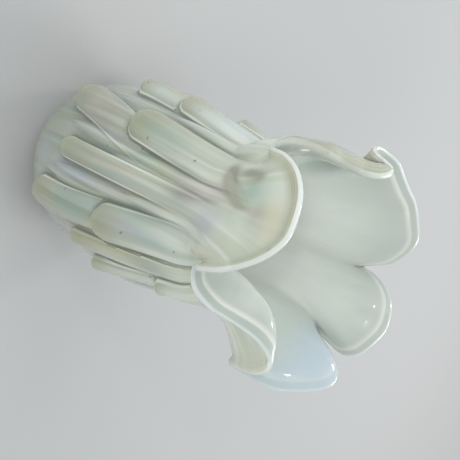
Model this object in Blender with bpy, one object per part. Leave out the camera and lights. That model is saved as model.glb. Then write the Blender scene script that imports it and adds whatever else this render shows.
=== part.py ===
# Ruffled glass vase, blown as one piece: a round-shouldered body with applied leaf-like ribs,
# a narrow neck and a thick six-lobed rim, modelled standing on its ground foot.
# Frame: origin at the centre of the foot on the table, +Z up, -Y towards the tall front lobe.

import bpy
import bmesh
from math import cos, exp, pi, radians, sin, sqrt
from mathutils import Vector

MM = 0.001

# Outer form of the body, in millimetres from the table
FOOT_RADIUS = 30.0
SHOULDER_RADIUS = 39.0
SHOULDER_HEIGHT = 9.0
BELLY_RADIUS = 44.0
BELLY_HEIGHT = 48.0
WAIST_RADIUS = 41.0
WAIST_HEIGHT = 82.0
NECK_RADIUS = 34.5
NECK_HEIGHT = 122.0

# How the outline leaves the foot, turns at the shoulder and enters the neck: outwards and upwards
FOOT_SLOPE = (14.0, 2.0)
SHOULDER_SLOPE = (10.0, 17.0)
NECK_SLOPE = (-3.0, 36.0)

# Glass thickness
BASE_THICKNESS = 8.0
BODY_WALL = 3.2
LIP_THICKNESS = 2.2
LIP_NOSE = 1.7  # how far the rounded edge runs past the lip's centre line
FLOOR_CORNER = 10.0

# Applied ribs, each a tongue with a steep rounded lower end that fades upwards into the wall. Each
# row is the angle in degrees at its lower and at its upper end, the height of the lower end, the
# height where it has faded, its width and how far it stands proud, in millimetres
WIDE = 17.5
NARROW = 10.0
TALL = 5.8
MIDDLING = 4.2
RIB_NOSE = 2.6
RIB_FALL = 14.0
BLOB_SHARE = 0.4  # part of the height that belongs to the blob at the lower end
RIB_TAPER = 0.15
RIB_CROWN = 0.5  # exponent of the section: 0.5 is round, higher is more pointed
RIBS = (
    (-56, -62, 26, 96, WIDE, TALL), (-58, -65, 76, 138, WIDE, TALL), (-89, -88, 43, 136, NARROW, MIDDLING),
    (-125, -107, 26, 92, WIDE, TALL), (-120, -116, 73, 138, WIDE, TALL), (-150, -150, 49, 100, WIDE, TALL),
    (-152, -150, 77, 136, WIDE, TALL), (-39, -40, 55, 136, NARROW, MIDDLING),
    (-178, -184, 28, 90, WIDE, TALL), (-191, -192, 84, 136, WIDE, TALL), (-211, -210, 46, 134, NARROW, MIDDLING),
    (-234, -240, 26, 88, WIDE, TALL), (-236, -238, 79, 134, WIDE, TALL), (-264, -262, 50, 112, NARROW, MIDDLING),
    (-262, -264, 104, 134, NARROW, MIDDLING),
    (-293, -299, 28, 92, WIDE, TALL), (-295, -296, 81, 134, WIDE, TALL), (-324, -323, 45, 134, NARROW, MIDDLING),
    (-346, -344, 27, 88, WIDE, MIDDLING), (-346, -348, 82, 134, NARROW, MIDDLING),
    (-384, -386, 64, 112, NARROW, TALL), (-386, -388, 105, 136, NARROW, TALL),
)
# Between them the wall is drawn up into sharp ridges that run out at both ends: the angle at the
# lower and at the upper end, and the heights of both
RIDGE_WIDTH = 7.0
RIDGE_HEIGHT = 2.2
RIDGE_SWELL = 0.7  # exponent of the swell from the ends: lower is blunter
RIDGES = (
    (-104, -101, 36, 92), (-77, -76, 38, 100), (-101, -100, 80, 140), (-78, -77, 88, 140), (-136, -137, 84, 140),
    (-73, -73, 30, 84), (-112, -106, 78, 136), (-94, -95, 70, 128), (-165, -166, 40, 120), (-223, -223, 50, 120),
    (-250, -250, 34, 100), (-279, -279, 40, 110), (-309, -309, 46, 108), (-335, -334, 60, 124), (-365, -364, 36, 100),
)
# The lip's centre line above the neck, lobe by lobe: angle in degrees, reach out from the neck and
# rise above it in millimetres, and the lean of the glass at the lip, where 0 is upright and 90 lies
# flat. Each lobe starts at its low fold, and FROM_NECK is the lean with which it leaves the neck.
FRONT_LOBE = (
    (-129, 9, 22, 80), (-125, 11, 31, 50), (-119, 12, 40, 35), (-111, 12, 47, 30), (-102, 12, 51, 30),
    (-93, 12, 52, 30), (-85, 12, 48, 30), (-78, 12, 41, 35), (-72, 11, 32, 50), (-68, 10, 24, 65),
)
FRONT_RIGHT_LOBE = (
    (-64, 7, 18, 85), (-58, 9, 21, 90), (-50, 7, 26, 98), (-42, 3, 29, 105), (-33, 0, 32, 105),
    (-24, -1, 37, 95), (-14, 1, 40, 75), (-6, 5, 38, 45), (0, 10, 30, 50),
)
BACK_RIGHT_LOBE = (
    (5, 13, 17, 85), (9, 14, 25, 65), (14, 15, 32, 55), (20, 14, 38, 50), (28, 13, 43, 50),
    (36, 12, 46, 50), (43, 11, 44, 50), (49, 11, 37, 55), (53, 10, 29, 65),
)
BACK_LOBE = (
    (57, 9, 24, 80), (58, 14, 30, 65), (58, 17, 37, 55), (61, 15, 43, 50), (68, 13, 46, 50),
    (76, 13, 47, 50), (84, 12, 46, 50), (90, 13, 43, 50), (95, 13, 38, 55), (98, 13, 32, 65),
)
BACK_LEFT_LOBE = (
    (100, 10, 26, 80), (104, 11, 31, 65), (108, 14, 37, 55), (115, 15, 42, 50), (123, 14, 45, 50),
    (132, 14.5, 43.5, 50), (140, 15.3, 41.5, 50), (148.5, 13.8, 40, 50), (155.5, 14, 38.5, 50),
    (161, 15.3, 36.5, 55), (167, 14.8, 34.3, 62), (174, 13.2, 33.2, 75), (176.5, 10.5, 33.8, 50),
)
FRONT_LEFT_LOBE = (
    (170, 8.3, 38.2, 10), (174, 5.6, 38, -20), (182, 3.8, 35.5, -35), (192, 3.8, 32, -38),
    (202, 4.9, 29, -20), (214, 6.8, 26, 15), (224, 8.8, 24.5, 50),
)
LOBES = (FRONT_LOBE, FRONT_RIGHT_LOBE, BACK_RIGHT_LOBE, BACK_LOBE, BACK_LEFT_LOBE, FRONT_LEFT_LOBE)
FROM_NECK = (8, -42, 10, 20, 20, 48)
# How deep the wall is pressed in just below the lip, so that the edge stands as a roll, and where
# that starts, as a share of the way from the neck to the lip
ROLLS = (0.5, 0.5, 1.5, 1.5, 1.7, 1.0)
ROLL_START = 0.76
# How much the lip's half thickness grows into a bead, and where that starts
BEADS = (0.0, 0.0, 0.0, 0.0, 0.0, 1.9)
BEAD_START = 0.72
# The wall is pinched in between the neck and the fold beside the front lobe
PINCH_ANGLE = -48.0
PINCH_DEPTH = 8.0
PINCH_SPREAD = 20.0
# Hollows, and where the depth is negative swellings, of the front of the rim. Each row is an angle,
# a share of the way from the neck to the lip, how much that share grows with each degree, the depth
# in millimetres, and the spread in degrees and as shares below and above
DENTS = (
    (-105, 0.42, 0.0165, 3.2, 11, 0.07, 0.22), (-84, 0.42, 0.0, -1.6, 12, 0.20, 0.20),
    (-67, 0.50, 0.0, -4.0, 7, 0.20, 0.25),
)

# Mesh density
AROUND = 120
BODY_ROWS = 24
RUFFLE_ROWS = 8
LIP_ROWS = 4
INNER_BODY_ROWS = 5
CURVE_STEPS = 16


def cylinder_point(angle, radius, height):
    """Point at an angle in degrees around the vase."""
    return Vector((radius * cos(radians(angle)), radius * sin(radians(angle)), height))


def hermite(start, end, start_slope, end_slope, t):
    """Cubic curve from start to end with the given slopes, at t from 0 to 1."""
    s = 1 - t
    return (start * (s * s * (1 + 2 * t)) + start_slope * (s * s * t)
            + end * (t * t * (3 - 2 * t)) - end_slope * (t * t * s))


def smooth_step(t):
    t = min(max(t, 0.0), 1.0)
    return t * t * (3 - 2 * t)


def lip_controls():
    """The angle around the neck, then the lip's point, lean, lean at the neck, roll and bead above it."""
    controls = []
    folds = [lobe[0][0] for lobe in LOBES] + [LOBES[0][0][0] + 360]
    for index, lobe in enumerate(LOBES):
        following = LOBES[(index + 1) % len(LOBES)][0]
        points = [cylinder_point(angle, NECK_RADIUS + out, NECK_HEIGHT + up)
                  for angle, out, up, _ in lobe + (following,)]
        steps = [(b - a).length for a, b in zip(points, points[1:])]
        travelled = 0.0
        for row, point, step in zip(lobe, points, steps):
            share = travelled / sum(steps)
            neck_angle = folds[index] + (folds[index + 1] - folds[index]) * share
            controls.append((neck_angle, Vector((*point, row[3], FROM_NECK[index], ROLLS[index], BEADS[index]))))
            travelled += step
    return controls


def lip_at(controls, angle):
    """Lip point, its lean, the lean at the neck, the roll and the bead, above an angle around the neck."""
    first = controls[0][0]
    angle = first + (angle - first) % 360
    count = len(controls)
    i = max(k for k in range(count) if controls[k][0] <= angle + 1e-9)
    angles = [controls[k % count][0] + 360 * (k // count) for k in range(i - 1, i + 3)]
    values = [controls[k % count][1] for k in range(i - 1, i + 3)]
    span = angles[2] - angles[1]
    start_slope = (values[2] - values[0]) * (span / (angles[2] - angles[0]))
    end_slope = (values[3] - values[1]) * (span / (angles[3] - angles[1]))
    value = hermite(values[1], values[2], start_slope, end_slope, (angle - angles[1]) / span)
    return Vector(value[:3]), value[3], value[4], value[5], max(value[6], 0.0)


def body_outline():
    """Outer radius and height up the body, from the edge of the foot to the neck."""
    knots = [Vector((FOOT_RADIUS, 0.0)), Vector((SHOULDER_RADIUS, SHOULDER_HEIGHT)),
             Vector((BELLY_RADIUS, BELLY_HEIGHT)), Vector((WAIST_RADIUS, WAIST_HEIGHT)),
             Vector((NECK_RADIUS, NECK_HEIGHT))]
    slopes = [Vector(FOOT_SLOPE), Vector(SHOULDER_SLOPE)]
    slopes += [(c - a) / 2 for a, c in zip(knots[1:], knots[3:])]
    slopes.append(Vector(NECK_SLOPE))
    points = []
    for i in range(len(knots) - 1):
        points += [hermite(knots[i], knots[i + 1], slopes[i], slopes[i + 1], k / CURVE_STEPS)
                   for k in range(CURVE_STEPS)]
    return points + [knots[-1]]


def evenly_spaced(points, rows):
    """The same line with a given number of equal steps."""
    lengths = [0.0]
    for a, b in zip(points, points[1:]):
        lengths.append(lengths[-1] + (b - a).length)
    result = []
    k = 0
    for row in range(rows + 1):
        target = lengths[-1] * row / rows
        while k < len(points) - 2 and lengths[k + 1] < target:
            k += 1
        t = (target - lengths[k]) / (lengths[k + 1] - lengths[k])
        result.append(points[k].lerp(points[k + 1], min(t, 1.0)))
    return result


def rib(across, rise, length, width, proud):
    """Relief of one rib at a distance across it and up from its lower end."""
    if rise <= 0 or rise >= length:
        return 0.0
    half = width / 2
    along = rise / length
    nose = sqrt(1 - (1 - rise / half) ** 2) if rise < half else 1.0
    side = abs(across) / (half * nose * (1 - RIB_TAPER * along))
    if side >= 1:
        return 0.0
    crest = BLOB_SHARE * exp(-rise / RIB_FALL) + (1 - BLOB_SHARE) * (1 - along ** 2)
    return proud * crest * smooth_step(rise / RIB_NOSE) * (1 - side ** 2) ** RIB_CROWN


def ridge(across, along):
    """Relief of one ridge at a distance across it and at a share of its length."""
    if along <= 0 or along >= 1:
        return 0.0
    swell = sin(pi * along) ** RIDGE_SWELL
    side = abs(across) / (swell * RIDGE_WIDTH / 2)
    return RIDGE_HEIGHT * swell * max(1 - side, 0.0)


def relief(angle, radius, height):
    """How far the ribs and ridges stand proud of the body."""
    most = 0.0
    for low_angle, high_angle, tip, end in RIDGES:
        along = (height - tip) / (end - tip)
        turn = (angle - low_angle - (high_angle - low_angle) * along + 180) % 360 - 180
        most = max(most, ridge(radians(turn) * radius, along))
    for low_angle, high_angle, tip, end, width, proud in RIBS:
        middle = low_angle + (high_angle - low_angle) * (height - tip) / (end - tip)
        turn = (angle - middle + 180) % 360 - 180
        most = max(most, rib(radians(turn) * radius, height - tip, end - tip, width, proud))
    return most


def dent(angle, share):
    """How deep the hollows of the rim go at an angle and at a share of the way up to the lip."""
    depth = 0.0
    for middle, start, climb, deepest, spread, below, above in DENTS:
        turn = (angle - middle + 180) % 360 - 180
        rise = share - start - climb * turn
        depth += deepest * exp(-(turn / spread) ** 2 - (rise / (below if rise < 0 else above)) ** 2)
    return depth


def ruffle_line(angle, lip, lean, neck_lean, roll):
    """Middle of the glass from the neck up to the lip, above one angle around the neck."""
    start = cylinder_point(angle, NECK_RADIUS - BODY_WALL / 2, NECK_HEIGHT)
    outward = cylinder_point(angle, 1.0, 0.0)
    lip_outward = Vector((lip.x, lip.y, 0.0)).normalized()
    up = Vector((0.0, 0.0, 1.0))
    reach = (lip - start).length
    leave = outward * sin(radians(neck_lean)) + up * cos(radians(neck_lean))
    arrive = lip_outward * sin(radians(lean)) + up * cos(radians(lean))
    inward = (outward * -cos(radians(lean)) + up * sin(radians(lean))) * roll
    turn = (angle - PINCH_ANGLE + 180) % 360 - 180
    pinch = outward * (-PINCH_DEPTH * exp(-(turn / PINCH_SPREAD) ** 2))
    points = []
    for k in range(RUFFLE_ROWS + 1):
        t = k / RUFFLE_ROWS
        press = sin(pi * max(t - ROLL_START, 0.0) / (1 - ROLL_START)) ** 2
        points.append(hermite(start, lip, leave * reach, arrive * reach, t)
                      + inward * press + pinch * sin(pi * t) - outward * dent(angle, t))
    return points


def grid_normals(rows):
    """Outward normals of a closed band of rings."""
    normals = []
    count = len(rows[0])
    for r, row in enumerate(rows):
        below = rows[max(r - 1, 0)]
        above = rows[min(r + 1, len(rows) - 1)]
        normals.append([(row[(c + 1) % count] - row[c - 1]).cross(above[c] - below[c]).normalized()
                        for c in range(count)])
    return normals


def ruffle_rings(angles):
    """Rings of the outside, the rounded lip and the inside of the rim, from neck to neck."""
    controls = lip_controls()
    lips = [lip_at(controls, a) for a in angles]
    lines = [ruffle_line(a, *lip[:4]) for a, lip in zip(angles, lips)]
    beads = [lip[4] for lip in lips]
    middle = [[line[k] for line in lines] for k in range(RUFFLE_ROWS + 1)]
    normals = grid_normals(middle)
    outer, inner, edge = [], [], []
    for k, (row, row_normals) in enumerate(zip(middle, normals)):
        half = (BODY_WALL + (LIP_THICKNESS - BODY_WALL) * k / RUFFLE_ROWS) / 2
        swell = smooth_step((k / RUFFLE_ROWS - BEAD_START) / (1 - BEAD_START))
        halves = [half + bead * swell for bead in beads]
        outer.append([p + n * (thick + relief(a, NECK_RADIUS, p.z))
                      for a, p, n, thick in zip(angles, row, row_normals, halves)])
        inner.append([p - n * thick for p, n, thick in zip(row, row_normals, halves)])
    for k in range(1, LIP_ROWS):
        turn = pi * k / LIP_ROWS
        edge.append([p + n * (cos(turn) * (LIP_THICKNESS / 2 + bead))
                     + (p - before).normalized() * (sin(turn) * (LIP_NOSE + bead))
                     for p, before, n, bead in zip(middle[-1], middle[-2], normals[-1], beads)])
    return outer + edge + inner[::-1]


def inside_outline(outline):
    """Inner radius and height, from the edge of the floor up to the neck."""
    wall = [Vector((p.x - BODY_WALL, p.y)) for p in outline if p.y > BASE_THICKNESS + FLOOR_CORNER]
    floor = Vector((wall[0].x - FLOOR_CORNER, BASE_THICKNESS))
    turn = FLOOR_CORNER * 1.5
    corner = [hermite(floor, wall[0], Vector((turn, 0.0)), Vector((0.0, turn)), k / CURVE_STEPS)
              for k in range(CURVE_STEPS)]
    return corner + wall


def vase_rings():
    """Every ring of the surface: up the outside, over the lip and down the inside."""
    angles = [360 * c / AROUND for c in range(AROUND)]
    outline = body_outline()
    outside = [[cylinder_point(a, p.x + relief(a, p.x, p.y), p.y) for a in angles]
               for p in evenly_spaced(outline, BODY_ROWS)[:-1]]
    inside = evenly_spaced(inside_outline(outline), INNER_BODY_ROWS)[:-1]
    lining = [[cylinder_point(a, p.x, p.y) for a in angles] for p in reversed(inside)]
    return outside + ruffle_rings(angles) + lining


def skin_mesh(name, rings):
    """One closed mesh from rings, with a flat disc at each end."""
    mesh = bmesh.new()
    loops = [[mesh.verts.new(point * MM) for point in row] for row in rings]
    count = len(loops[0])
    for lower, upper in zip(loops, loops[1:]):
        for c in range(count):
            mesh.faces.new((lower[c], lower[(c + 1) % count], upper[(c + 1) % count], upper[c]))
    mesh.faces.new(reversed(loops[0]))
    mesh.faces.new(loops[-1])
    bmesh.ops.recalc_face_normals(mesh, faces=mesh.faces)
    data = bpy.data.meshes.new(name)
    mesh.to_mesh(data)
    mesh.free()
    return data


def opal_glass():
    material = bpy.data.materials.new("opal_glass")
    material.use_nodes = True
    shader = material.node_tree.nodes["Principled BSDF"]
    shader.inputs["Base Color"].default_value = (0.78, 0.80, 0.72, 1.0)
    shader.inputs["Roughness"].default_value = 0.12
    shader.inputs["Metallic"].default_value = 0.0
    return material


def build_vase():
    data = skin_mesh("vase", vase_rings())
    data.materials.append(opal_glass())
    data.shade_smooth()
    vase = bpy.data.objects.new("vase", data)
    bpy.context.scene.collection.objects.link(vase)


for old in list(bpy.data.objects):
    bpy.data.objects.remove(old, do_unlink=True)
build_vase()
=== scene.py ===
"""Looks of the ruffled opal glass vase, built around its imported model."""

from math import pi

import bpy
import numpy as np
from mathutils import Matrix, Vector


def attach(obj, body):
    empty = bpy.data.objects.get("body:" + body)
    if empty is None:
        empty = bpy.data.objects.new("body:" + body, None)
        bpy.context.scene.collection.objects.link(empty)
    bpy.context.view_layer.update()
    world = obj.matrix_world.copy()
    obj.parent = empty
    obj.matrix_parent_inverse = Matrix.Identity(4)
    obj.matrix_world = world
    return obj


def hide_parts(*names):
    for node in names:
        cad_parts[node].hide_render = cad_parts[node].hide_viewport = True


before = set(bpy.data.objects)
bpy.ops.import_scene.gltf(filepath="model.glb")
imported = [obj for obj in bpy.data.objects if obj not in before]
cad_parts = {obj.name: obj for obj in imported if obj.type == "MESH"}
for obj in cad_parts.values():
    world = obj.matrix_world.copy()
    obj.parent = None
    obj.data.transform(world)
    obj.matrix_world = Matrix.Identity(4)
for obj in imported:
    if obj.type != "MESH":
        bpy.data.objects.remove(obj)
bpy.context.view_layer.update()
bpy.ops.object.select_all(action="DESELECT")


# The photograph looks at the vase lying on its side, so the camera is rolled and looks down at
# its front. Its place and turn were fitted to the outlines of the body, the ribs and the rim.
camera = bpy.data.objects.new("camera", bpy.data.cameras.new("camera"))
camera.data.sensor_width = 36.0
camera.data.lens = 43.83
camera.data.clip_start = 0.01
camera.matrix_world = Matrix((
    (-0.439158, -0.898341, -0.011084, 0.0),
    (0.605544, -0.286864, -0.742311, -0.17061),
    (0.663669, -0.332704, 0.669964, 0.26639),
    (0.0, 0.0, 0.0, 1.0),
))
bpy.context.scene.collection.objects.link(camera)
bpy.context.scene.camera = camera


# The vase is one gather of milky glass cased in clear. It is blown round, with a flat ground foot,
# so its wall is a profile spun about the axis: up the outside, over the lip and down the inside.
AROUND = 336
BODY_ROWS = 118
RIM_ROWS = 56
LIP_ROWS = 8
INNER_ROWS = 44
FOOT_RINGS = (0, 12, 24)
FLOOR_RINGS = (20, 10, 0)
WALL = 3.2
LIP = 2.2
LIP_NOSE = 1.7
FLOOR = 8.0
FLOOR_CORNER = 10.0
ROW_RISE = 0.8
BELLY_RADIUS = 44.0
NECK_RADIUS = 34.5
NECK_HEIGHT = 122.0
OUTLINE = (  # radius, height and slope of the outside, in millimetres
    ((30, 0), (14, 2)), ((39, 9), (10, 17)), ((44, 48), (1, 36.5)), ((41, 82), (-4.75, 37)),
    ((NECK_RADIUS, NECK_HEIGHT), (-3, 36)),
)


def hermite(start, end, start_slope, end_slope, t):
    """Cubic curve between two points with the given slopes."""
    s = 1 - t
    return (start * (s * s * (1 + 2 * t)) + start_slope * (s * s * t)
            + end * (t * t * (3 - 2 * t)) - end_slope * (t * t * s))


def evenly(points, rows):
    """A line's points, moved along it so that they are evenly spaced."""
    run = np.r_[0, np.cumsum(np.linalg.norm(np.diff(points, axis=0), axis=1))]
    spaced = np.linspace(0, run[-1], rows + 1)
    return np.column_stack([np.interp(spaced, run, points[:, k]) for k in (0, 1)])


def blown_outline(rows):
    """Radius and height of the outside, evenly spaced from the foot to the neck."""
    points = []
    for (a, leave), (b, arrive) in zip(OUTLINE, OUTLINE[1:]):
        t = np.linspace(0, 1, 60)[:, None]
        points.append(hermite(*(np.array(v, float) for v in (a, b, leave, arrive)), t)[:-1])
    return evenly(np.vstack(points + [[OUTLINE[-1][0]]]), rows)


def inner_outline(rows):
    """Radius and height of the lining, evenly spaced from the flat floor to the neck."""
    outside = blown_outline(400)
    wall = outside[outside[:, 1] > FLOOR + FLOOR_CORNER] - (WALL, 0)
    floor_edge = np.array((wall[0][0] - FLOOR_CORNER, FLOOR))
    turn = FLOOR_CORNER * 1.5
    t = np.linspace(0, 1, 40)[:-1, None]
    corner = hermite(floor_edge, wall[0], np.array((turn, 0)), np.array((0, turn)), t)
    return evenly(np.vstack([corner, wall]), rows)


outside = blown_outline(BODY_ROWS)
lining = inner_outline(INNER_ROWS)
profile = [(r, 0) for r in FOOT_RINGS] + list(outside)
profile += [(NECK_RADIUS, NECK_HEIGHT + ROW_RISE * k) for k in range(1, RIM_ROWS + 1)]
top = profile[-1][1]
profile += [(NECK_RADIUS - WALL * k / LIP_ROWS, top) for k in range(1, LIP_ROWS + 1)]
profile += [(NECK_RADIUS - WALL, top - ROW_RISE * k) for k in range(1, RIM_ROWS + 1)]
profile += list(lining[-2::-1]) + [(r, FLOOR) for r in FLOOR_RINGS]

bpy.ops.mesh.primitive_plane_add(size=0.002, location=(0, 0, 0))
vase = bpy.context.object
vase.name = "glass_vase"
bpy.ops.object.mode_set(mode="EDIT")
bpy.ops.mesh.merge(type="CENTER")
for (r, z), (next_r, next_z) in zip(profile, profile[1:]):
    bpy.ops.mesh.extrude_region_move(
        TRANSFORM_OT_translate={"value": ((next_r - r) * 0.001, 0, (next_z - z) * 0.001)})
bpy.ops.object.mode_set(mode="OBJECT")

# Each point of the profile notes its number, so that it is known after the spin which row it is in.
row_layer = vase.data.attributes.new("row", "INT", "POINT")
drawn_points = np.array([tuple(v.co) for v in vase.data.vertices])
profile_points = np.array([(r * 0.001, 0, z * 0.001) for r, z in profile])
nearest = [int(np.argmin(np.linalg.norm(profile_points - point, axis=1))) for point in drawn_points]
row_layer.data.foreach_set("value", np.array(nearest, np.int32))
bpy.ops.object.mode_set(mode="EDIT")
bpy.ops.mesh.select_all(action="SELECT")
bpy.ops.mesh.spin(steps=AROUND, angle=2 * pi, center=(0, 0, 0), axis=(0, 0, 1))
bpy.ops.mesh.select_all(action="SELECT")
bpy.ops.mesh.remove_doubles(threshold=0.00001)
bpy.ops.mesh.normals_make_consistent(inside=False)
bpy.ops.object.mode_set(mode="OBJECT")


# While the glass is hot, tongues of it are laid on the body. Each is a blob with a steep rounded
# lower end that is pulled up and fades into the wall: its angle at the lower and at the upper end,
# the heights of both, its width and how far it stands proud.
WIDE = 17.5
NARROW = 10.0
TALL = 5.8
MIDDLING = 4.2
TONGUES = (
    (-56, -62, 26, 96, WIDE, TALL), (-58, -65, 76, 138, WIDE, TALL),
    (-89, -88, 43, 136, NARROW, MIDDLING),
    (-125, -107, 26, 92, WIDE, TALL), (-120, -116, 73, 138, WIDE, TALL),
    (-150, -150, 49, 100, WIDE, TALL), (-152, -150, 77, 136, WIDE, TALL),
    (-39, -40, 55, 136, NARROW, MIDDLING),
    (-178, -184, 28, 90, WIDE, TALL), (-191, -192, 84, 136, WIDE, TALL),
    (-211, -210, 46, 134, NARROW, MIDDLING),
    (-234, -240, 26, 88, WIDE, TALL), (-236, -238, 79, 134, WIDE, TALL),
    (-264, -262, 50, 112, NARROW, MIDDLING), (-262, -264, 104, 134, NARROW, MIDDLING),
    (-293, -299, 28, 92, WIDE, TALL), (-295, -296, 81, 134, WIDE, TALL),
    (-324, -323, 45, 134, NARROW, MIDDLING),
    (-346, -344, 27, 88, WIDE, MIDDLING), (-346, -348, 82, 134, NARROW, MIDDLING),
    (-384, -386, 64, 112, NARROW, TALL), (-386, -388, 105, 136, NARROW, TALL),
)
NOSE_RISE = 2.6
BLOB_FALL = 14
BLOB_SHARE = 0.4
TAPER = 0.15
OVERLAP = -1.5
FAR_OUTSIDE = -20.0
RIDGES = (  # angle at the lower and at the upper end, and the heights of both
    (-104, -101, 36, 92), (-77, -76, 38, 100), (-101, -100, 80, 140), (-78, -77, 88, 140),
    (-136, -137, 84, 140), (-73, -73, 30, 84), (-112, -106, 78, 136), (-94, -95, 70, 128),
    (-165, -166, 40, 120), (-223, -223, 50, 120), (-250, -250, 34, 100), (-279, -279, 40, 110),
    (-309, -309, 46, 108), (-335, -334, 60, 124), (-365, -364, 36, 100),
)
RIDGE_WIDTH = 7.0
RIDGE_HEIGHT = 2.2
RIDGE_SWELL = 0.7


def apart(angle, other):
    """Degrees from one angle round to another, from -180 to 180."""
    return (angle - other + 180) % 360 - 180


def lay_tongues(angle, radius, height):
    """How far the tongues stand proud, how far inside a tongue's outline that is, and how far up it."""
    shape = np.broadcast(angle, height).shape
    proud, inside, up = np.zeros(shape), np.full(shape, FAR_OUTSIDE), np.ones(shape)
    for low_angle, high_angle, tip, end, width, tall in sorted(TONGUES, key=lambda tongue: tongue[2]):
        rise = np.clip(height - tip, 0, end - tip)
        along = rise / (end - tip)
        middle = low_angle + (high_angle - low_angle) * along
        across = np.radians(apart(angle, middle)) * radius
        half = width / 2 * (1 - TAPER * along)
        nose = np.sqrt(np.clip(1 - (1 - np.minimum(rise / (width / 2), 1)) ** 2, 1e-9, 1))
        side = np.minimum(np.abs(across) / (half * nose), 1)
        start = np.minimum(rise / NOSE_RISE, 1)
        crest = BLOB_SHARE * np.exp(-rise / BLOB_FALL) + (1 - BLOB_SHARE) * (1 - along ** 2)
        proud = np.maximum(proud, tall * crest * start ** 2 * (3 - 2 * start) * np.sqrt(1 - side ** 2))
        gap = half - np.hypot(across, np.maximum(half - (height - tip), 0))
        gap = np.where(height > end, FAR_OUTSIDE, gap)
        nearer = (gap > inside) | (gap > OVERLAP)
        up = np.where(nearer, along, up)
        inside = np.where(nearer, gap, inside)
    for low_angle, high_angle, tip, end in RIDGES:
        along = np.clip((height - tip) / (end - tip), 1e-6, 1 - 1e-6)
        across = np.radians(apart(angle, low_angle + (high_angle - low_angle) * along)) * radius
        swell = np.sin(pi * along) ** RIDGE_SWELL
        slope = np.clip(1 - np.abs(across) / (RIDGE_WIDTH / 2 * swell), 0, 1)
        proud = np.maximum(proud, RIDGE_HEIGHT * swell * slope)
    return proud, inside, up


# The rim is pulled into six lobes with low folds between them. Each row is a point of the lip: its
# angle, reach out from the neck, rise above it and lean, where 0 is upright and 90 lies flat.
LOBES = (
    ((-129, 9, 22, 80), (-125, 11, 31, 50), (-119, 12, 40, 35), (-111, 12, 47, 30), (-102, 12, 51, 30),
     (-93, 12, 52, 30), (-85, 12, 48, 30), (-78, 12, 41, 35), (-72, 11, 32, 50), (-68, 10, 24, 65)),
    ((-64, 7, 18, 85), (-58, 9, 21, 90), (-50, 7, 26, 98), (-42, 3, 29, 105), (-33, 0, 32, 105),
     (-24, -1, 37, 95), (-14, 1, 40, 75), (-6, 5, 38, 45), (0, 10, 30, 50)),
    ((5, 13, 17, 85), (9, 14, 25, 65), (14, 15, 32, 55), (20, 14, 38, 50), (28, 13, 43, 50),
     (36, 12, 46, 50), (43, 11, 44, 50), (49, 11, 37, 55), (53, 10, 29, 65)),
    ((57, 9, 24, 80), (58, 14, 30, 65), (58, 17, 37, 55), (61, 15, 43, 50), (68, 13, 46, 50),
     (76, 13, 47, 50), (84, 12, 46, 50), (90, 13, 43, 50), (95, 13, 38, 55), (98, 13, 32, 65)),
    ((100, 10, 26, 80), (104, 11, 31, 65), (108, 14, 37, 55), (115, 15, 42, 50), (123, 14, 45, 50),
     (132, 14.5, 43.5, 50), (140, 15.3, 41.5, 50), (148.5, 13.8, 40, 50), (155.5, 14, 38.5, 50),
     (161, 15.3, 36.5, 55), (167, 14.8, 34.3, 62), (174, 13.2, 33.2, 75), (176.5, 10.5, 33.8, 50)),
    ((170, 8.3, 38.2, 10), (174, 5.6, 38, -20), (182, 3.8, 35.5, -35), (192, 3.8, 32, -38),
     (202, 4.9, 29, -20), (214, 6.8, 26, 15), (224, 8.8, 24.5, 50)),
)
FROM_NECK = (8, -42, 10, 20, 20, 48)  # lean of each lobe where it leaves the neck
ROLLS = (0.5, 0.5, 1.5, 1.5, 1.7, 1.0)  # how far each lobe's edge is pressed into a roll
ROLL_START = 0.76
BEADS = (0, 0, 0, 0, 0, 1.9)  # how much thicker each lobe's edge is on either side
BEAD_START = 0.72
PINCH = (-48, 8, 20)  # angle, depth and spread
DENTS = (  # angle, share of the way up, climb, depth, and spread sideways, below and above
    (-105, 0.42, 0.0165, 3.2, 11, 0.07, 0.22), (-84, 0.42, 0.0, -1.6, 12, 0.20, 0.20),
    (-67, 0.50, 0.0, -4.0, 7, 0.20, 0.25),
)
SOFTENING = 24


def around(angle, radius, height):
    """Points at angles in degrees around the axis."""
    turn = np.radians(angle)
    return np.stack(np.broadcast_arrays(radius * np.cos(turn), radius * np.sin(turn), height), axis=-1)


def lip_controls():
    """Angles around the neck that the lip's points grow from, and their places, leans, rolls and beads."""
    folds = [lobe[0][0] for lobe in LOBES] + [LOBES[0][0][0] + 360]
    from_angles, values = [], []
    for index, lobe in enumerate(LOBES):
        rows = np.array(lobe + (LOBES[(index + 1) % len(LOBES)][0],), float)
        points = around(rows[:, 0], NECK_RADIUS + rows[:, 1], NECK_HEIGHT + rows[:, 2])
        run = np.r_[0, np.cumsum(np.linalg.norm(np.diff(points, axis=0), axis=1))]
        share = run[:-1] / run[-1]
        from_angles += list(folds[index] + (folds[index + 1] - folds[index]) * share)
        same = np.tile((FROM_NECK[index], ROLLS[index], BEADS[index]), (len(lobe), 1))
        values.append(np.hstack([points[:-1], rows[:-1, 3:], same]))
    return np.array(from_angles), np.vstack(values)


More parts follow.
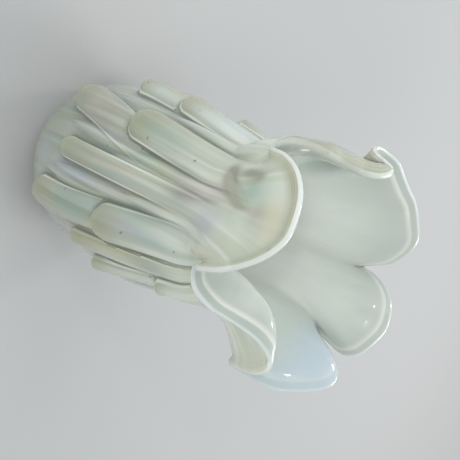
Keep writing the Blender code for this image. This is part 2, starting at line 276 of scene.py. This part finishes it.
def lip_at(angles):
    """Lip points above angles around the neck, with their lean, neck lean, roll and bead."""
    knots, values = lip_controls()
    count = len(knots)
    angles = knots[0] + (angles - knots[0]) % 360
    i = np.searchsorted(knots, angles + 1e-9) - 1
    at = [knots[(i + k) % count] + 360 * ((i + k) // count) for k in (-1, 0, 1, 2)]
    value = [values[(i + k) % count] for k in (-1, 0, 1, 2)]
    span = at[2] - at[1]
    leave = (value[2] - value[0]) * (span / (at[2] - at[0]))[:, None]
    arrive = (value[3] - value[1]) * (span / (at[3] - at[1]))[:, None]
    found = hermite(value[1], value[2], leave, arrive, ((angles - at[1]) / span)[:, None])
    return found[:, :3], found[:, 3], found[:, 4], found[:, 5], np.maximum(found[:, 6], 0)


def surface_normals(grid):
    """Outward normals of a band of closed rings."""
    rise = np.gradient(grid, axis=0)
    turn = np.roll(grid, -1, axis=1) - np.roll(grid, 1, axis=1)
    normal = np.cross(turn, rise)
    return normal / np.linalg.norm(normal, axis=2, keepdims=True)


def softened(grid, passes):
    """The band with its kink at the neck drawn out smooth, and both ends kept."""
    for _ in range(passes):
        grid = np.concatenate([grid[:1], (grid[:-2] + 2 * grid[1:-1] + grid[2:]) / 4, grid[-1:]])
    return grid


columns = np.arange(AROUND) * 360 / AROUND
lip_points, lip_lean, neck_lean, roll, bead = lip_at(columns)
neck = around(columns, NECK_RADIUS - WALL / 2, NECK_HEIGHT)
upright = np.array((0, 0, 1.0))
lean, leaving = np.radians(lip_lean)[:, None], np.radians(neck_lean)[:, None]
lip_outward = lip_points * (1, 1, 0)
lip_outward = lip_outward / np.linalg.norm(lip_outward, axis=1, keepdims=True)
reach = np.linalg.norm(lip_points - neck, axis=1, keepdims=True)
leave = (around(columns, 1.0, 0.0) * np.sin(leaving) + upright * np.cos(leaving)) * reach
arrive = (lip_outward * np.sin(lean) + upright * np.cos(lean)) * reach
share = np.linspace(0, 1, RIM_ROWS + 1)[:, None, None]
middle = hermite(neck, lip_points, leave, arrive, share)
pressed = around(columns, -1.0, 0.0) * np.cos(lean) + upright * np.sin(lean)
pinch = PINCH[1] * np.exp(-(apart(columns, PINCH[0]) / PINCH[2]) ** 2)
middle = middle - around(columns, 1.0, 0.0) * pinch[:, None] * np.sin(pi * share)
rolled = np.clip(share - ROLL_START, 0, 1) / (1 - ROLL_START)
middle = middle + pressed * roll[:, None] * np.sin(pi * rolled) ** 2
swell = np.clip((share - BEAD_START) / (1 - BEAD_START), 0, 1)
half_wall = (WALL + (LIP - WALL) * share) / 2 + bead[:, None] * swell ** 2 * (3 - 2 * swell)
normals = surface_normals(middle)
body = around(columns, outside[:, :1], outside[:, 1:])
outer = softened(np.concatenate([body[:-1], middle + normals * half_wall]), SOFTENING)
inner_body = around(columns, lining[:, :1], lining[:, 1:])
inner = softened(np.concatenate([inner_body[:-1], middle - normals * half_wall]), SOFTENING)
hollow = np.zeros((RIM_ROWS + 1, AROUND))
for angle, start, climb, depth, spread, below, above in DENTS:
    turn = apart(columns, angle)
    rise = share[:, :, 0] - start - climb * turn
    hollow += depth * np.exp(-(turn / spread) ** 2 - (rise / np.where(rise < 0, below, above)) ** 2)
for wall in (outer, inner, middle):
    wall[-RIM_ROWS - 1:] -= around(columns, 1.0, 0.0) * hollow[:, :, None]
edge_normal = normals[-1]
edge_out = middle[-1] - middle[-2]
edge_out = edge_out / np.linalg.norm(edge_out, axis=1, keepdims=True)
thick = bead[:, None]
edge = []
for k in range(1, LIP_ROWS):
    t = pi * k / LIP_ROWS
    edge.append(middle[-1] + edge_normal * np.cos(t) * (LIP / 2 + thick)
                + edge_out * np.sin(t) * (LIP_NOSE + thick))
edge = np.array(edge)

across_wall = np.minimum(np.hypot(outer[:, :, 0], outer[:, :, 1]), BELLY_RADIUS)
tongues, inside_outline, up_tongue = lay_tongues(columns, across_wall, outer[:, :, 2])
outer = outer + surface_normals(outer) * tongues[:, :, None]
foot = around(columns, np.array(FOOT_RINGS, float)[:, None], 0.0)
floor_disc = around(columns, np.array(FLOOR_RINGS, float)[:, None], FLOOR)
grid = np.concatenate([foot, outer, edge, inner[::-1], floor_disc])

# The spun vase takes this shape: each of its points goes to its own row and column.
rows = np.zeros(len(vase.data.vertices), np.int32)
vase.data.attributes["row"].data.foreach_get("value", rows)
spot = np.array([tuple(v.co) for v in vase.data.vertices])
column = np.rint(np.degrees(np.arctan2(spot[:, 1], spot[:, 0])) % 360 * AROUND / 360).astype(int) % AROUND
vase.data.vertices.foreach_set("co", (grid[rows, column] * 0.001).ravel())
vase.data.update()
bpy.ops.object.shade_smooth()


# The milky glass is struck with a mother-of-pearl lustre, drawn out along the pull of the glass. The
# clear casing shows beige where it is thick: in the tongues' ends, along the lip and in the folds.
# The surface keeps values of its own on its points, and the material mixes its colours by them.
OUTER_RINGS = slice(len(FOOT_RINGS), len(FOOT_RINGS) + len(outer))
LIP_RING = len(FOOT_RINGS) + len(outer) + LIP_ROWS // 2 - 1
PULL_RADIUS = 40
CREST_SPREAD = 14
CREST_DEPTH = 2.5
WALL_RUN = (0.03, 0.18)  # metres along the glass from the foot's middle: low on the wall, and the lip
OUTLINE_REACH = 2.0
CASING = (  # how much of the clear edge shows: angle from the first fold, and share
    (0, 1), (28, 1), (60, 1), (90, 1), (130, 0.3), (165, 0.3), (205, 0.7), (265, 0.9), (300, 0.9), (335, 0.9),
    (360, 1),
)
TINTS = {  # patches on the outside, of lustre, beige glass, painted shade and painted light: angle, height, and how far they spread in degrees and millimetres
    "gold": ((-47, 66, 6, 14), (-45, 92, 5, 18), (-101, 103, 5, 9), (-152, 70, 7, 18),
             (-230, 96, 8, 16), (-262, 60, 7, 14), (-300, 50, 8, 14), (-345, 100, 8, 16)),
    "rose": ((-95.5, 120, 5, 7), (-99.5, 153, 3, 5), (-65, 94, 3, 7), (-118, 47, 7, 8),
             (-103, 132, 6, 8), (-180, 60, 6, 14), (-208, 108, 6, 12), (-286, 84, 6, 14),
             (-322, 108, 6, 12), (-12, 70, 6, 14)),
    "lavender": ((-80, 48, 4, 10), (-77, 64, 3, 14), (-62, 100, 4, 10), (-79, 24, 9, 7),
                 (-104, 66, 3, 10), (-86, 134, 8, 8), (-192, 42, 8, 12), (-240, 70, 5, 14),
                 (-275, 112, 5, 12), (-330, 64, 6, 16)),
    "aqua": ((-71, 97, 5, 14), (-102, 94, 4, 10), (-57, 62, 5, 10), (-60, 110, 4, 10),
             (-117, 92, 6, 16), (-108, 144, 5, 8), (-165, 100, 6, 16), (-220, 50, 8, 12),
             (-252, 86, 6, 14), (-310, 90, 7, 18)),
    # amber: partly the beige of thick clear glass in a fold, partly painted shade along the dent's crease and
    # on the back lobe's lip
    "amber_and_shade": ((-66, 139, 5, 7), (-119, 130, 4, 2.5), (-115, 131, 4, 2.5), (-111, 132.5, 4, 2.5),
              (-107, 135, 4, 3), (-104, 138, 3, 3), (-101.5, 141.5, 2.5, 3), (-99.5, 145, 2, 3),
              (-117.5, 138, 2.5, 3), (-116, 142, 2.5, 3), (-114, 146, 2.5, 3), (-135, 143, 4, 4),
              (-156, 147, 10, 6), (-172, 149, 10, 6), (-184, 149, 8, 6)),
    # painted shade: darker patches on the front of the body
    "shade": ((-91, 116, 6, 8), (-40, 106, 6, 12), (-75, 104, 4, 8), (-103, 112, 4, 8)),
    # painted skylight: paler, bluer patches on the upper body where the window light falls
    "painted_skylight": ((-145, 62, 6, 12), (-148, 92, 6, 16), (-150, 112, 6, 12)),
    "peach": ((-101, 161, 4, 6), (-96, 166, 6, 5)),
}
LINING_TINTS = {
    # bluish milk: partly the opal's own blue where the glass is thin, partly a painted reflection of cool sky
    # light on the lobes that face it
    "blue_milk_and_sky_sheen": ((30, 166, 22, 14), (46, 160, 12, 12), (8, 158, 12, 12), (-70, 150, 8, 8)),
    # painted light: paler lining on the front lobes' inner band and where the back lobe shades the inside
    "painted_light": ((-24, 139, 14, 9), (-36, 132, 10, 8), (-160, 142, 14, 8)),
    # a darker beige along the back lobe's lip: partly thick clear glass, partly painted shade
    "band": ((-142, 143, 9, 9), (-156, 146, 12, 9), (-172, 149, 12, 9), (-184, 149, 8, 8)),
}


def vertex_layer(name, kind, values):
    """A value of the surface's own, kept on its points for the material."""
    layer = vase.data.attributes.new(name, kind, "POINT")
    field = "vector" if kind == "FLOAT_VECTOR" else "value"
    layer.data.foreach_set(field, values[rows, column].astype(np.float32).ravel())


def on_outside(values, elsewhere):
    """Values of the outside's rings, and one value for all the others."""
    layer = whole + elsewhere
    layer[OUTER_RINGS] = values
    return layer


steps = np.linalg.norm(np.diff(grid, axis=0), axis=2)
run = np.concatenate([np.zeros((1, AROUND)), np.cumsum(steps, axis=0)])
whole = np.zeros(grid.shape[:2])
vertex_layer("from_lip", "FLOAT", np.abs(run - run[LIP_RING]))
vertex_layer("lining", "FLOAT", whole + (np.arange(len(grid)) > LIP_RING)[:, None])
vertex_layer("inside_outline", "FLOAT", on_outside(inside_outline, FAR_OUTSIDE))
vertex_layer("up_tongue", "FLOAT", on_outside(up_tongue, 1))
edge_depth = np.interp((columns - LOBES[0][0][0]) % 360, *zip(*CASING))
vertex_layer("edge_depth", "FLOAT", whole + edge_depth)
# How far each point stands above its blurred surroundings: it places painted shade in the valleys and a
# painted highlight on the crests.
around_it = tongues.copy()
for _ in range(CREST_SPREAD):
    around_it = (around_it + np.roll(around_it, 1, axis=1) + np.roll(around_it, -1, axis=1)) / 3
    around_it[1:-1] = (around_it[:-2] + around_it[1:-1] + around_it[2:]) / 3
vertex_layer("crest", "FLOAT", on_outside(0.5 + (tongues - around_it) / CREST_DEPTH, 0.5))
up_to_lip = np.minimum(run, 2 * run[LIP_RING] - run)
vertex_layer("pull", "FLOAT_VECTOR", around(columns, PULL_RADIUS, up_to_lip) * 0.001)
for tint, patches in (TINTS | LINING_TINTS).items():
    strength = whole.copy()
    for angle, rise, wide, long in patches:
        strength += np.exp(-(apart(columns, angle) / wide) ** 2 - ((grid[:, :, 2] - rise) / long) ** 2)
    if tint in TINTS:
        strength[LIP_RING:] = 0
    vertex_layer(tint, "FLOAT", np.clip(strength, 0, 1))

opal = bpy.data.materials.new("opal_glass")
opal.use_nodes = True
nodes, links = opal.node_tree.nodes, opal.node_tree.links
shader = nodes["Principled BSDF"]
shader.inputs["Roughness"].default_value = 0.25
shader.inputs["Coat Weight"].default_value = 1.0
shader.inputs["Coat Roughness"].default_value = 0.03
shader.inputs["Subsurface Weight"].default_value = 0.9
shader.inputs["Subsurface Radius"].default_value = (1.0, 0.97, 0.88)
shader.inputs["Subsurface Scale"].default_value = 0.006


def layer_value(name):
    """A value that the surface keeps on its points."""
    node = nodes.new("ShaderNodeAttribute")
    node.attribute_name = name
    return node.outputs["Vector" if name == "pull" else "Fac"]


def ramp(value, *stops):
    """Colours, or plain shares from 0 to 1, at values from low to high."""
    node = nodes.new("ShaderNodeValToRGB")
    links.new(value, node.inputs["Fac"])
    elements = node.color_ramp.elements
    while len(elements) < len(stops):
        elements.new(0.5)
    for element, (position, colour) in zip(elements, stops):
        element.position = position
        element.color = (colour,) * 3 + (1.0,) if isinstance(colour, (int, float)) else (*colour, 1.0)
    return node.outputs["Color"]


def blended(share, first, second):
    """The second colour laid over the first by a share."""
    node = nodes.new("ShaderNodeMix")
    node.data_type = "RGBA"
    for socket, value in ((node.inputs["Factor"], share), (node.inputs[6], first), (node.inputs[7], second)):
        if isinstance(value, bpy.types.NodeSocket):
            links.new(value, socket)
        else:
            socket.default_value = (*value, 1.0)
    return node.outputs[2]


def worked(kind, first, second):
    """A sum, product or quotient of a value and a value or number."""
    node = nodes.new("ShaderNodeMath")
    node.operation = kind
    links.new(first, node.inputs[0])
    if isinstance(second, bpy.types.NodeSocket):
        links.new(second, node.inputs[1])
    else:
        node.inputs[1].default_value = second
    return node.outputs[0]


def rescaled(value, low, high):
    """A value as its share of the way from low to high."""
    node = nodes.new("ShaderNodeMapRange")
    links.new(value, node.inputs["Value"])
    node.inputs["From Min"].default_value = low
    node.inputs["From Max"].default_value = high
    return node.outputs["Result"]


def mottle(scale, stretch, detail=2.0, distortion=0.0, offset=(0, 0, 0)):
    """Cloudy noise that the pull of the glass has drawn out."""
    mapping = nodes.new("ShaderNodeMapping")
    mapping.inputs["Scale"].default_value = stretch
    mapping.inputs["Location"].default_value = offset
    links.new(layer_value("pull"), mapping.inputs["Vector"])
    node = nodes.new("ShaderNodeTexNoise")
    node.inputs["Scale"].default_value = scale
    node.inputs["Detail"].default_value = detail
    node.inputs["Distortion"].default_value = distortion
    links.new(mapping.outputs["Vector"], node.inputs["Vector"])
    return node.outputs["Fac"]


pulled = nodes.new("ShaderNodeSeparateXYZ")
links.new(layer_value("pull"), pulled.inputs["Vector"])
up_wall = rescaled(pulled.outputs["Z"], *WALL_RUN)
milk = ramp(mottle(28.0, (1, 1, 0.6)), (0.38, (0.29, 0.35, 0.27)), (0.62, (0.40, 0.43, 0.32)))
rim_milk = ramp(mottle(34.0, (1, 1, 0.8)), (0.38, (0.78, 0.84, 0.73)), (0.62, (0.88, 0.90, 0.78)))
milk = blended(ramp(up_wall, (0.45, 0), (0.80, 1)), milk, rim_milk)
lustre = ramp(mottle(70.0, (1, 1, 0.16), 2.0, 0.5), (0.28, (0.44, 0.44, 0.52)), (0.38, (0.30, 0.43, 0.36)),
              (0.46, (0.46, 0.47, 0.29)), (0.53, (0.52, 0.43, 0.39)), (0.60, (0.34, 0.47, 0.44)),
              (0.72, (0.58, 0.63, 0.57)))
drawn = ramp(mottle(260.0, (1, 1, 0.03), 2.0, 0.2, (3, 1, 2)), (0.40, (0.22, 0.27, 0.20)),
             (0.50, (0.42, 0.46, 0.37)), (0.60, (0.74, 0.80, 0.74)))
lustre_share = ramp(up_wall, (0.0, 0.06), (0.12, 0.12), (0.35, 0.45), (0.6, 0.45), (0.95, 0.2))
drawn_share = ramp(up_wall, (0.0, 0.04), (0.12, 0.08), (0.35, 0.26))
outer_colour = blended(drawn_share, blended(lustre_share, milk, lustre), drawn)
# Over the milk go the lustre's colours and peach, with painted shade, a painted bluish skylight, and amber
# that is partly thick clear glass and partly painted shade.
for tint, colour, most in (("gold", (0.52, 0.49, 0.27), 0.55), ("rose", (0.55, 0.44, 0.45), 0.5),
                           ("lavender", (0.49, 0.51, 0.62), 0.5), ("aqua", (0.33, 0.50, 0.43), 0.5),
                           ("shade", (0.30, 0.32, 0.27), 0.55), ("painted_skylight", (0.72, 0.83, 0.84), 0.5),
                           ("peach", (0.78, 0.74, 0.56), 0.6), ("amber_and_shade", (0.31, 0.30, 0.22), 0.68)):
    outer_colour = blended(worked("MULTIPLY", layer_value(tint), most), outer_colour, colour)

# Painted shade darkens the valleys between the tongues, and a painted highlight pales their crests.
# Each tongue has a beige end, a pale line just inside its outline, partly the casing's turned edge
# and partly a painted glint, and a line of painted shade in the crease outside.
crest = layer_value("crest")
outer_colour = blended(ramp(crest, (0.1, 0.6), (0.46, 0)), outer_colour, (0.15, 0.19, 0.14))
outer_colour = blended(ramp(crest, (0.56, 0), (0.85, 0.35)), outer_colour, (0.70, 0.76, 0.68))
up_it = layer_value("up_tongue")
across_outline = rescaled(layer_value("inside_outline"), -OUTLINE_REACH, OUTLINE_REACH)
in_tongue = ramp(across_outline, (0.5, 0), (0.62, 1))
ends = ramp(up_it, (0.0, 1), (0.10, 0.85), (0.30, 0.15), (0.5, 0))
beige_end = worked("MULTIPLY", in_tongue, worked("MULTIPLY", ends, 0.75))
outer_colour = blended(beige_end, outer_colour, (0.36, 0.36, 0.22))
line_life = ramp(up_it, (0.0, 1), (0.6, 0.8), (1.0, 0))
broken = ramp(mottle(50.0, (1, 1, 0.6), 1.0, 0.0, (5, 2, 8)), (0.35, 0.35), (0.6, 0.95))
# A pale line inside each outline: partly the clear casing's turned edge, partly a painted glint.
casing_line_and_glint = ramp(across_outline, (0.54, 0), (0.58, 1), (0.66, 1), (0.74, 0))
casing_line_and_glint = worked("MULTIPLY", casing_line_and_glint, worked("MULTIPLY", line_life, broken))
outer_colour = blended(casing_line_and_glint, outer_colour, (0.84, 0.87, 0.76))
# Painted shade: a dark line in the crease just outside each tongue.
painted_crease_shade = ramp(across_outline, (0.20, 0), (0.42, 1), (0.50, 1), (0.54, 0))
painted_crease_shade = worked("MULTIPLY", painted_crease_shade, worked("MULTIPLY", line_life, 0.6))
outer_colour = blended(painted_crease_shade, outer_colour, (0.17, 0.20, 0.13))
specks = ramp(mottle(420.0, (1, 1, 1), 0.0, 0.0, (7, 5, 3)), (0.84, 0), (0.86, 1))
outer_colour = blended(worked("MULTIPLY", specks, 0.6), outer_colour, (0.14, 0.15, 0.11))

# The lining is the plain milk with soft flutes, greyer towards the lip and whiter deep inside: partly
# thinner milk near the lip, partly painted shade on the lobes that the lamps light hardest and painted
# light deep down where the neck shades it. The edge is a bead of clear glass over it: beige with fine
# lines outside, grey-green inside, with a painted highlight on the very edge and a pale line along the roll.
LINING_REACH = 60.0
EDGE_REACH = 10.0
is_lining = layer_value("lining")
down_lining = worked("DIVIDE", layer_value("from_lip"), LINING_REACH)
flutes = ramp(mottle(45.0, (1, 1, 0.10)), (0.35, (0.72, 0.78, 0.73)), (0.70, (0.86, 0.89, 0.84)))
lining_colour = blended(ramp(down_lining, (0.6, 0), (1.0, 0.8)), flutes, (0.97, 0.98, 0.95))
lining_colour = blended(ramp(down_lining, (0.05, 1), (0.6, 0)), lining_colour, (0.50, 0.54, 0.50))
# Painted light, and the bluish milk with its painted sky reflection, are laid on the lining.
for tint, colour, most in (("painted_light", (0.92, 0.97, 0.95), 0.8), ("blue_milk_and_sky_sheen", (0.54, 0.64, 0.72), 0.7)):
    lining_colour = blended(worked("MULTIPLY", layer_value(tint), most), lining_colour, colour)
wall_colour = blended(is_lining, outer_colour, lining_colour)
from_edge = worked("DIVIDE", layer_value("from_lip"), EDGE_REACH)
# Outside bead: a painted highlight on the very edge, then the beige lines of the clear glass.
outer_bead = ramp(from_edge, (0.0, (0.74, 0.79, 0.73)), (0.10, (0.78, 0.82, 0.74)),
                  (0.15, (0.38, 0.38, 0.27)), (0.22, (0.54, 0.54, 0.42)), (0.32, (0.42, 0.42, 0.31)),
                  (0.36, (0.54, 0.54, 0.43)), (0.46, (0.46, 0.46, 0.35)), (0.52, (0.55, 0.56, 0.46)),
                  (1.0, (0.62, 0.65, 0.54)))
# Inside bead: a painted highlight on the very edge, grey-green clear glass, and a pale line along the roll,
# partly the glass's cream and partly a painted highlight.
inner_bead = ramp(from_edge, (0.0, (0.74, 0.79, 0.73)), (0.12, (0.72, 0.77, 0.73)),
                  (0.20, (0.48, 0.53, 0.49)), (0.40, (0.50, 0.55, 0.50)), (0.48, (0.82, 0.83, 0.75)),
                  (0.56, (0.78, 0.79, 0.72)), (0.70, (0.54, 0.57, 0.53)), (1.0, (0.52, 0.56, 0.52)))
bead_colour = blended(is_lining, outer_bead, inner_bead)
# A darker beige along the back lobe's lip: partly thick clear glass, partly painted shade.
bead_colour = blended(worked("MULTIPLY", layer_value("band"), 0.9), bead_colour, (0.36, 0.35, 0.27))
bead_share = worked("MULTIPLY", ramp(from_edge, (0.0, 1), (0.5, 0.9), (0.95, 0)), layer_value("edge_depth"))
uneven = ramp(mottle(60.0, (1, 1, 0.5), 1.0, 0.0, (2, 9, 4)), (0.35, 0.45), (0.60, 0.95))
bead_share = worked("MULTIPLY", bead_share, uneven)
links.new(blended(bead_share, wall_colour, bead_colour), shader.inputs["Base Color"])

# Painted light: the lining glows faintly low inside the body, standing in for light that passes the
# milky wall, so the inside of the body is never quite dark. The surface is faintly fluted and lined along the
# pull.
painted_glow = blended(ramp(up_wall, (0.50, 1), (0.84, 0)), (0.0, 0.0, 0.0), (0.86, 0.92, 0.86))
links.new(blended(is_lining, (0.0, 0.0, 0.0), painted_glow), shader.inputs["Emission Color"])
shader.inputs["Emission Strength"].default_value = 0.06
bump = nodes.new("ShaderNodeBump")
bump.inputs["Strength"].default_value = 0.6
bump.inputs["Distance"].default_value = 0.0025
fine_lines = worked("MULTIPLY", mottle(220.0, (1, 1, 0.05), 2.0, 0.2), 0.3)
broad_flutes = mottle(60.0, (1, 1, 0.12), 1.0, 0.4, (4, 4, 4))
links.new(worked("ADD", fine_lines, broad_flutes), bump.inputs["Height"])
links.new(bump.outputs["Normal"], shader.inputs["Normal"])
vase.data.materials.clear()
vase.data.materials.append(opal)
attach(vase, "root")
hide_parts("vase")


# The floor is a plain pale sheet that runs out into the pale surrounding, with no edge or horizon.
# The light is a soft studio light: a key from the side that the photograph has uppermost, a fill
# from its other side, one from behind, one from above, and two small ones that glint as windows do.
FLOOR_RADIUS = 2.0
FADE_START = 0.35
FADE_END = 1.1
LAMPS = (  # name, place, power, size, and whether it shows in reflections
    ("key", (-1.35, -0.36, 0.58), 7.2, 1.1, False),
    ("fill", (0.6, -0.8, 0.6), 2.2, 0.5, False),
    ("back", (0.1, 0.9, 0.7), 3.0, 0.5, True),
    ("window", (-0.45, -0.75, 0.75), 0.7, 0.12, True),
    ("side_window", (-0.55, 0.55, 0.60), 0.9, 0.13, True),
    ("top", (0.05, 0.10, 0.95), 0.9, 0.3, False),
)
LIT_MIDDLE = (0, 0, 0.09)
bpy.ops.mesh.primitive_circle_add(vertices=96, radius=FLOOR_RADIUS, fill_type="NGON", location=(0, 0, 0))
floor = bpy.context.object
floor.name = "floor"
floor_finish = bpy.data.materials.new("floor_paint")
floor_finish.use_nodes = True
floor_nodes, floor_links = floor_finish.node_tree.nodes, floor_finish.node_tree.links
paint = floor_nodes["Principled BSDF"]
paint.inputs["Base Color"].default_value = (0.55, 0.55, 0.54, 1)
paint.inputs["Roughness"].default_value = 0.9
paint.inputs["Specular IOR Level"].default_value = 0.1
spot_on_floor = floor_nodes.new("ShaderNodeTexCoord")
away = floor_nodes.new("ShaderNodeVectorMath")
away.operation = "LENGTH"
floor_links.new(spot_on_floor.outputs["Object"], away.inputs[0])
fade = floor_nodes.new("ShaderNodeMapRange")
fade.interpolation_type = "SMOOTHSTEP"
fade.inputs["From Min"].default_value = FADE_START
fade.inputs["From Max"].default_value = FADE_END
fade.inputs["To Min"].default_value = 1.0
fade.inputs["To Max"].default_value = 0.0
floor_links.new(away.outputs["Value"], fade.inputs["Value"])
floor_links.new(fade.outputs["Result"], paint.inputs["Alpha"])
floor.data.materials.append(floor_finish)

for name, place, power, width, reflected in LAMPS:
    lamp = bpy.data.objects.new(name, bpy.data.lights.new(name, "AREA"))
    lamp.data.energy = power
    lamp.data.size = width
    lamp.visible_glossy = reflected
    lamp.location = place
    lamp.rotation_euler = (Vector(LIT_MIDDLE) - lamp.location).to_track_quat("-Z", "Y").to_euler()
    bpy.context.scene.collection.objects.link(lamp)

world = bpy.data.worlds.new("studio")
world.use_nodes = True
sky_nodes, sky_links = world.node_tree.nodes, world.node_tree.links
sky = sky_nodes["Background"]
sky.inputs["Color"].default_value = (0.9, 0.95, 1.0, 1)
sky.inputs["Strength"].default_value = 0.6
pale_wall = sky_nodes.new("ShaderNodeBackground")
pale_wall.inputs["Color"].default_value = (0.56, 0.565, 0.565, 1)
path = sky_nodes.new("ShaderNodeLightPath")
seen = path.outputs["Is Camera Ray"]
for ray in ("Is Glossy Ray", "Is Transmission Ray"):
    either = sky_nodes.new("ShaderNodeMath")
    either.operation = "MAXIMUM"
    sky_links.new(seen, either.inputs[0])
    sky_links.new(path.outputs[ray], either.inputs[1])
    seen = either.outputs[0]
choice = sky_nodes.new("ShaderNodeMixShader")
sky_links.new(seen, choice.inputs["Fac"])
sky_links.new(sky.outputs["Background"], choice.inputs[1])
sky_links.new(pale_wall.outputs["Background"], choice.inputs[2])
sky_links.new(choice.outputs["Shader"], sky_nodes["World Output"].inputs["Surface"])
bpy.context.scene.world = world
bpy.context.scene.view_settings.view_transform = "Standard"
